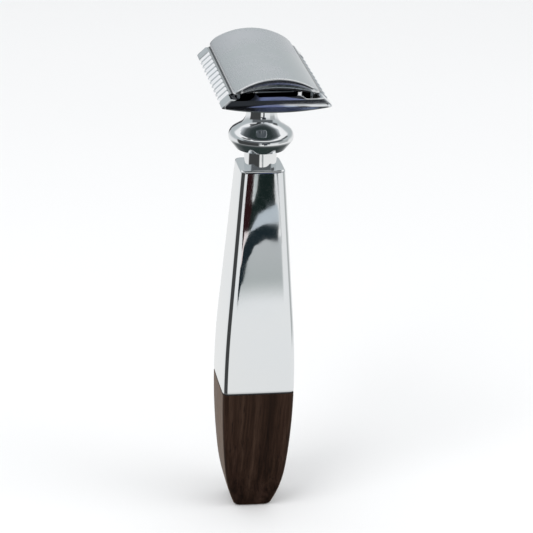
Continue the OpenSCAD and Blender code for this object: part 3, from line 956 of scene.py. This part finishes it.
world = bpy.data.worlds.new("studio")
bpy.context.scene.world = world
world.use_nodes = True
N = Nodes(world.node_tree)
tc = N.add("ShaderNodeTexCoord")
sep = N.add("ShaderNodeSeparateXYZ")
N.put(sep.inputs[0], tc.outputs["Generated"])
X, Y, Z = sep.outputs
el = N.math("MULTIPLY", N.math("ARCSINE", Z), 180 / PI)                  # elevation, degrees
az = N.math("MULTIPLY", N.math("ARCTAN2", X, N.math("MULTIPLY", Y, -1.0)), 180 / PI)   # 0 towards the camera side, + to the right
stops = [(-90, (0.025, 0.04, 0.036)), (-58, (0.04, 0.05, 0.05)), (-42, (0.12, 0.13, 0.13)), (-34, (0.40, 0.41, 0.41)), (-27, (0.84, 0.845, 0.84)), (-14, (0.86, 0.865, 0.86)),
         (-6, (0.76, 0.77, 0.78)), (2, (0.55, 0.57, 0.58)), (12, (0.47, 0.51, 0.52)), (26, (0.50, 0.535, 0.55)), (33, (0.95, 0.95, 0.95)),
         (60, (1.0, 1.0, 1.0)), (75, (0.98, 0.98, 0.98)), (79, (0.10, 0.15, 0.13)), (90, (0.05, 0.08, 0.07))]
env = N.ramp(N.mapr(el, -90, 90), [((e + 90) / 180, c) for e, c in stops])


def window(v, a, b, soft):
    return N.math("MULTIPLY", N.mapr(v, a - soft, a + soft, 0, 1, True), N.mapr(v, b - soft, b + soft, 1, 0, True))


def patch(env, a0, a1, e0, e1, soft_a, soft_e, color, amount=1.0):
    k = N.math("MULTIPLY", window(az, a0, a1, soft_a), window(el, e0, e1, soft_e))
    return N.mix(N.math("MULTIPLY", k, amount), env, color)


env = patch(env, -98, -14, -34, 8, 5, 4, (0.055, 0.057, 0.057))           # dark side of the studio: draws the handle's left edge
env = patch(env, 55, 100, -17, 4, 5, 2, (0.36, 0.38, 0.38), 0.8)               # grey strip on the right edge, upper part only
env = patch(env, -75, 75, 46, 61, 8, 2.5, (0.04, 0.05, 0.05), 0.92)       # gaps between the overhead lights: dark rings round the collar
env = patch(env, -75, 75, 6, 27, 8, 3, (0.05, 0.055, 0.06), 0.85)
env = patch(env, 173, 182, -12, 5, 2, 2, (0.03, 0.03, 0.035), 0.95)        # dark line low at the back: the guard's ridges
env = patch(env, -182, -163.5, -12, 7, 1, 1.5, (0.03, 0.03, 0.035), 0.95)
env = patch(env, -95, -52, 34, 47, 4, 2, (0.06, 0.063, 0.065), 0.9)       # dark flanks beside the guard's ridges, left and right
env = patch(env, 76, 112, 20, 32, 5, 2, (0.06, 0.063, 0.065), 0.9)
lp = N.add("ShaderNodeLightPath")
ambient = (0.86, 0.87, 0.88)
col = N.mix(lp.outputs["Is Glossy Ray"], ambient, env)
col = N.mix(lp.outputs["Is Camera Ray"], col, (0.985, 0.987, 0.99))
bg = N.add("ShaderNodeBackground")
N.put(bg.inputs[0], col)
wo = N.add("ShaderNodeOutputWorld")
world.node_tree.links.new(bg.outputs[0], wo.inputs[0])

# cards in front of the razor: what its front faces mirror; the camera never sees them
def card(name, pts, color, y=-150.0):
    return plane(name, [(x, y, z) for x, z in pts], emit(name, color), True)


card("card_maroon", [(6.2, 60.2), (5.0, 53.3), (4.8, 48.2), (5.6, 42.7), (7.6, 37.0), (9.0, 37.0), (14.9, 42.7), (16.0, 48.2), (16.3, 53.3), (16.8, 60.2), (16.9, 64.5), (6.6, 64.5)],
     (0.024, 0.0085, 0.0095))
card("card_pale_line", [(17.2, 62), (19.6, 62), (18.3, 53.2), (17.3, 51.0)], (0.50, 0.56, 0.55), -149.8)
card("card_green", [(20.0, 64.6), (19.0, 54.5), (17.2, 51.4), (15.8, 51.0), (15.4, 48.2), (13.8, 41.9), (16.2, 42.3), (18.4, 44.9), (20.7, 46.9), (26, 48.2), (32.3, 49.6), (32.4, 64.6)],
     (0.009, 0.017, 0.0155), -150.2)
card("card_blob", [(32.3, 49.8), (26, 48.4), (20.7, 47.1), (18.4, 45.1), (16.0, 41.9), (17.4, 42.4), (24.5, 43.9), (34.5, 44.2), (34.2, 47.6), (33.2, 50.9)], (0.50, 0.555, 0.60), -149.9)
card("card_band", [(34.0, 44.0), (24.5, 43.9), (17.4, 42.4), (15.4, 41.8), (9.8, 33.0), (6.6, 31.5), (5.6, 24.4), (6.8, 20.3), (7.8, 20.0), (11.0, 24.0), (13.7, 26.9),
                   (15.3, 32.9), (18.9, 37.4), (25.6, 39.2), (32.9, 38.4)], (0.012, 0.021, 0.026))
card("card_streak", [(11.6, 42.3), (15.0, 42.1), (9.8, 33.0), (7.2, 32.0), (7.0, 34.6)], (0.80, 0.72, 0.71), -149.6)
card("card_grey_line", [(33.2, 64), (34.9, 64), (37.6, 46), (39.8, 38), (38.8, 38), (36.4, 46)], (0.24, 0.26, 0.26))
# above them, the cards that the plate's and the cap's end faces mirror
card("card_end_left", [(2, 74), (2, 64.5), (9.4, 64.5), (16.9, 64.5), (16.9, 69.2), (18.4, 72.4), (18.4, 74)], (0.010, 0.011, 0.013), -149.4)
card("card_end_navy", [(16.5, 69.1), (16.5, 64.5), (34.6, 64.5), (34.6, 67.6), (30, 68.6), (25, 69.1)], (0.018, 0.023, 0.040), -149.2)
card("card_end_lavender", [(16.9, 69.2), (25, 69.1), (30, 68.6), (30, 73.5), (18.4, 73.5)], (0.17, 0.20, 0.36), -149.0)
card("card_end_blue", [(29.6, 68.7), (34.5, 67.4), (34.5, 71.0), (29.6, 71.6)], (0.34, 0.41, 0.58), -148.8)
card("card_end_tip", [(33.5, 64.5), (38.5, 64.5), (38.5, 71), (34.1, 71)], (0.008, 0.008, 0.010), -148.6)
card("card_cap_end", [(-14, 73.5), (62, 73.5), (62, 112), (-14, 112)], (0.030, 0.033, 0.038))
card("card_slot", [(-45, 65.5), (2, 65.5), (2, 78), (-45, 78)], (0.012, 0.013, 0.015), -149.7)

gm = bpy.data.materials.new("card_fade")                   # a grey haze that fades out downwards
gm.use_nodes = True
G = Nodes(gm.node_tree)
go = G.add("ShaderNodeOutputMaterial")
gs = G.add("ShaderNodeSeparateXYZ")
G.put(gs.inputs[0], G.add("ShaderNodeTexCoord").outputs["Object"])
gk = G.math("MULTIPLY", G.mapr(gs.outputs[2], 0.0185, 0.0275, 0, 1, True), G.mapr(gs.outputs[0], 0.0405, 0.0345, 0, 1, True))
ge = G.add("ShaderNodeEmission")
G.put(ge.inputs[0], G.mix(G.mapr(gs.outputs[2], 0.024, 0.039), (0.44, 0.47, 0.46), (0.50, 0.52, 0.53)))
gt = G.add("ShaderNodeBsdfTransparent")
gx = G.add("ShaderNodeMixShader")
G.put(gx.inputs[0], gk)
gm.node_tree.links.new(gt.outputs[0], gx.inputs[1])
gm.node_tree.links.new(ge.outputs[0], gx.inputs[2])
gm.node_tree.links.new(gx.outputs[0], go.inputs[0])
plane("card_haze", [(7.5, -150.4, 17), (42, -150.4, 17), (42, -150.4, 40), (7.5, -150.4, 40)], gm, True)


def area(name, loc, target, size, power, color=(1, 1, 1)):
    l = bpy.data.lights.new(name, "AREA")
    l.shape, l.size, l.size_y = "RECTANGLE", size[0] * MM, size[1] * MM
    l.energy, l.color = power, color
    o = bpy.data.objects.new(name, l)
    bpy.context.scene.collection.objects.link(o)
    o.location = Vector(loc) * MM
    d = (Vector(target) - Vector(loc)).normalized()
    o.rotation_euler = d.to_track_quat("-Z", "Y").to_euler()
    o.visible_glossy = False
    o.visible_camera = False
    return o


area("key", (-500, -450, 800), (0, 0, 60), (500, 500), 3.2)
area("fill", (650, -300, 500), (0, 0, 60), (500, 500), 1.4)

# ---------------------------------------------------------------- camera: same place and direction as the photograph's, closer crop
cam_data = bpy.data.cameras.new("camera")
cam = bpy.data.objects.new("camera", cam_data)
bpy.context.scene.collection.objects.link(cam)
yaw, pitch, roll = math.radians(3.89), math.radians(21.11), math.radians(-0.31)
d = Vector((math.sin(yaw) * math.cos(pitch), math.cos(yaw) * math.cos(pitch), -math.sin(pitch)))
r = Vector((math.cos(yaw), -math.sin(yaw), 0.0))
u = r.cross(d)
rr = math.cos(roll) * r + math.sin(roll) * u
uu = -math.sin(roll) * r + math.cos(roll) * u
WIN, WX, WY = 300.0, 398.0, 279.5                        # crop of the photograph's 533 x 533 view that the picture shows
cam_data.sensor_width = 36.0
aim = (d * 1350.0 + rr * (WX - 266.5) - uu * (WY - 266.5)).normalized()     # turned on the spot to look at the crop's centre
turn = d.rotation_difference(aim)
for v in (rr, uu, d):
    v.rotate(turn)
cam.matrix_world = Matrix.Translation(Vector((-91.0, -536.6, 278.0)) * MM) @ Matrix((rr, uu, -d)).transposed().to_4x4()
cam_data.lens = math.hypot(1350.0, WX - 266.5, WY - 266.5) / WIN * 36.0
cam_data.clip_start, cam_data.clip_end = 0.01, 50
bpy.context.scene.camera = cam
bpy.context.scene.view_settings.view_transform = "Standard"
bpy.context.scene.view_settings.look = "None"
bpy.context.scene.view_settings.exposure = 0.0
